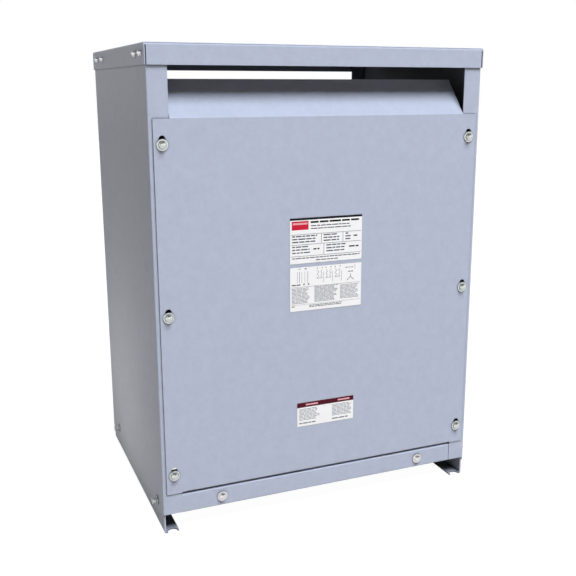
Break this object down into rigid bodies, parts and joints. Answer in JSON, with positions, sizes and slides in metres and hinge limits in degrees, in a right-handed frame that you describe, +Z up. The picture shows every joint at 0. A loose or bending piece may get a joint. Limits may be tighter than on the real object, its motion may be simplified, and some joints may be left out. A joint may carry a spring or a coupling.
{
  "type": "general purpose transformer",
  "caption": "Floor-standing ventilated dry-type transformer: folded steel enclosure with open gaps under the roof, screwed covers and channel feet, around a three-phase core and coils.",
  "frame": {"origin": "middle of the footprint, on the floor", "axes": "+Z up, -Y out of the front cover with the nameplates, +X to the right of someone facing it"},
  "size_m": [0.7136, 0.539, 0.935],
  "materials": {
    "enclosure_paint": "satin light grey baked enamel on folded steel sheet",
    "zinc_plate": "bright zinc plated steel",
    "plate_print": "white printed foil plate",
    "core_steel": "varnished edges of stacked silicon steel",
    "clamp_paint": "dark primer",
    "pad_rubber": "black rubber",
    "insulation": "red glass-polyester",
    "winding_foil": "aluminium foil under varnished paper",
    "winding_resin": "varnish-impregnated winding with amber outer wrap",
    "bus_aluminium": "plain aluminium bar",
    "stud_brass": "brass",
    "ground_copper": "plain copper",
    "lead_sleeve": "black insulating sleeve over the conductor"
  },
  "bodies": {
    "root": {"roof_cover": "enclosure_paint", "left_side_panel": "enclosure_paint", "right_side_panel": "enclosure_paint", "front_cover": "enclosure_paint", "rear_cover": "enclosure_paint", "front_bottom_rail": "enclosure_paint", "rear_bottom_rail": "enclosure_paint", "front_cross_member": "enclosure_paint", "rear_cross_member": "enclosure_paint", "left_foot_channel": "enclosure_paint", "right_foot_channel": "enclosure_paint", "front_cover_screws": "zinc_plate", "rear_cover_screws": "zinc_plate", "cover_nuts": "zinc_plate", "rail_screws": "zinc_plate", "roof_screws": "zinc_plate", "side_bolts": "zinc_plate", "upper_nameplate": "plate_print", "lower_nameplate": "plate_print", "small_label": "plate_print", "core_legs": "core_steel", "core_top_yoke": "core_steel", "front_lower_clamp": "clamp_paint", "rear_lower_clamp": "clamp_paint", "front_upper_clamp": "clamp_paint", "rear_upper_clamp": "clamp_paint", "yoke_rods": "zinc_plate", "tie_rods": "zinc_plate", "isolation_pads": "pad_rubber", "hold_down_bolts": "zinc_plate", "duct_sticks": "insulation", "lower_coil_blocks": "insulation", "upper_coil_blocks": "insulation", "secondary_board": "insulation", "primary_board": "insulation", "board_brackets": "zinc_plate", "board_bolts": "zinc_plate", "neutral_links": "bus_aluminium", "neutral_bar": "bus_aluminium", "neutral_standoffs": "insulation", "neutral_bolts": "zinc_plate", "tap_boards": "insulation", "tap_studs": "stud_brass", "tap_links": "stud_brass", "primary_bars": "bus_aluminium", "primary_leads": "lead_sleeve", "ground_bar": "ground_copper", "ground_screws": "zinc_plate", "core_ground_strap": "ground_copper", "secondary_winding_1": "winding_foil", "primary_winding_1": "winding_resin", "secondary_bar_1": "bus_aluminium", "secondary_winding_2": "winding_foil", "primary_winding_2": "winding_resin", "secondary_bar_2": "bus_aluminium", "secondary_winding_3": "winding_foil", "primary_winding_3": "winding_resin", "secondary_bar_3": "bus_aluminium"}
  },
  "joints": []
}
